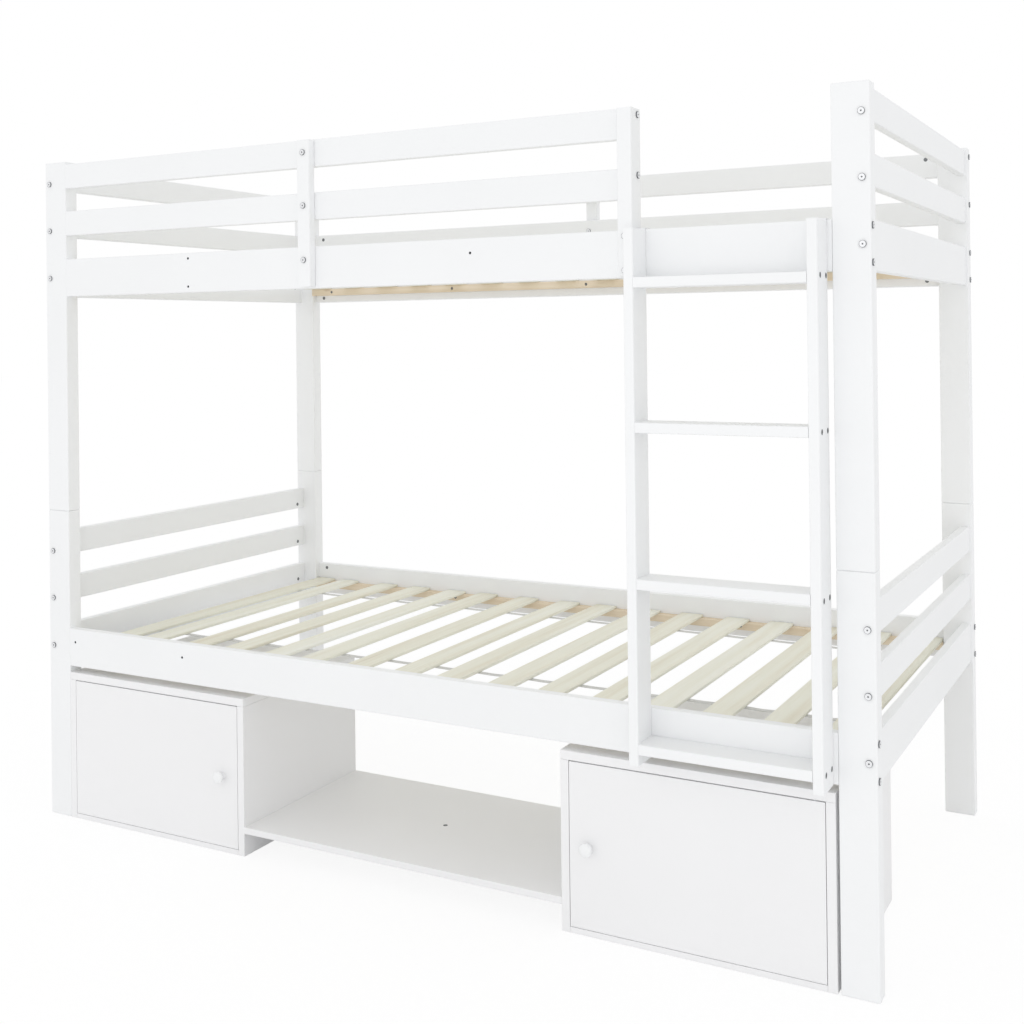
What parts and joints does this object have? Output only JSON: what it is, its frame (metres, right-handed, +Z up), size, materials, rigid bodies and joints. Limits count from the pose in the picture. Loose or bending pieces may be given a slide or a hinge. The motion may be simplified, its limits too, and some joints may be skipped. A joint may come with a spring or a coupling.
{
  "type": "bunk bed",
  "caption": "White timber bunk bed with slatted bases, guard boards, a fixed ladder at the right and two low cupboards joined by a shelf underneath.",
  "frame": {"origin": "on the floor, under the middle of the whole bed's box", "axes": "+X along the bed towards the ladder end, -Y the front where the ladder and cupboard doors are, +Z up"},
  "size_m": [2.065, 1.0656, 1.612],
  "materials": {
    "paint": "white satin paint",
    "board": "white faced panel",
    "pine": "bare planed pine",
    "slat": "pale bare planed wood",
    "steel": "zinc plated"
  },
  "bodies": {
    "bed": {"lower_post_front_left": "paint", "lower_post_front_right": "paint", "lower_post_back_left": "paint", "lower_post_back_right": "paint", "upper_post_front_left": "paint", "upper_post_front_right": "paint", "upper_post_back_left": "paint", "upper_post_back_right": "paint", "lower_front_rail": "paint", "lower_back_rail": "paint", "upper_front_rail": "paint", "upper_back_rail": "paint", "lower_front_ledger": "pine", "lower_back_ledger": "pine", "upper_front_ledger": "pine", "upper_back_ledger": "pine", "lower_left_rail": "paint", "lower_left_mid_board": "paint", "lower_left_top_board": "paint", "lower_right_rail": "paint", "lower_right_mid_board": "paint", "lower_right_top_board": "paint", "upper_left_rail": "paint", "upper_left_mid_board": "paint", "upper_left_top_board": "paint", "upper_right_rail": "paint", "upper_right_mid_board": "paint", "upper_right_top_board": "paint", "front_guard_mid": "paint", "front_guard_top": "paint", "back_guard_mid": "paint", "back_guard_top": "paint", "front_upright": "paint", "back_upright": "paint", "gate_upright": "paint", "lower_slat_roll": "slat", "upper_slat_roll": "slat", "ladder_stile_left": "paint", "ladder_stile_right": "paint", "ladder_rung_1": "paint", "ladder_rung_2": "paint", "ladder_rung_3": "paint", "ladder_rung_4": "paint", "ladder_hook_left": "steel", "ladder_hook_right": "steel", "left_cupboard_top": "board", "left_cupboard_side_left": "board", "left_cupboard_side_right": "board", "left_cupboard_floor": "board", "left_cupboard_back": "board", "right_cupboard_top": "board", "right_cupboard_side_left": "board", "right_cupboard_side_right": "board", "right_cupboard_floor": "board", "right_cupboard_back": "board", "shelf": "board"},
    "left_door": {"left_door": "board", "left_knob": "paint"},
    "right_door": {"right_door": "board", "right_knob": "paint"}
  },
  "joints": [
    {"name": "left_door_hinge", "type": "hinge", "parent": "bed", "child": "left_door", "pos_m": [-0.9207, -0.46475, 0.1745], "axis": [0, 0, -1], "range_deg": [0, 100]},
    {"name": "right_door_hinge", "type": "hinge", "parent": "bed", "child": "right_door", "pos_m": [0.9153, -0.46475, 0.1745], "axis": [0, 0, 1], "range_deg": [0, 100]}
  ]
}
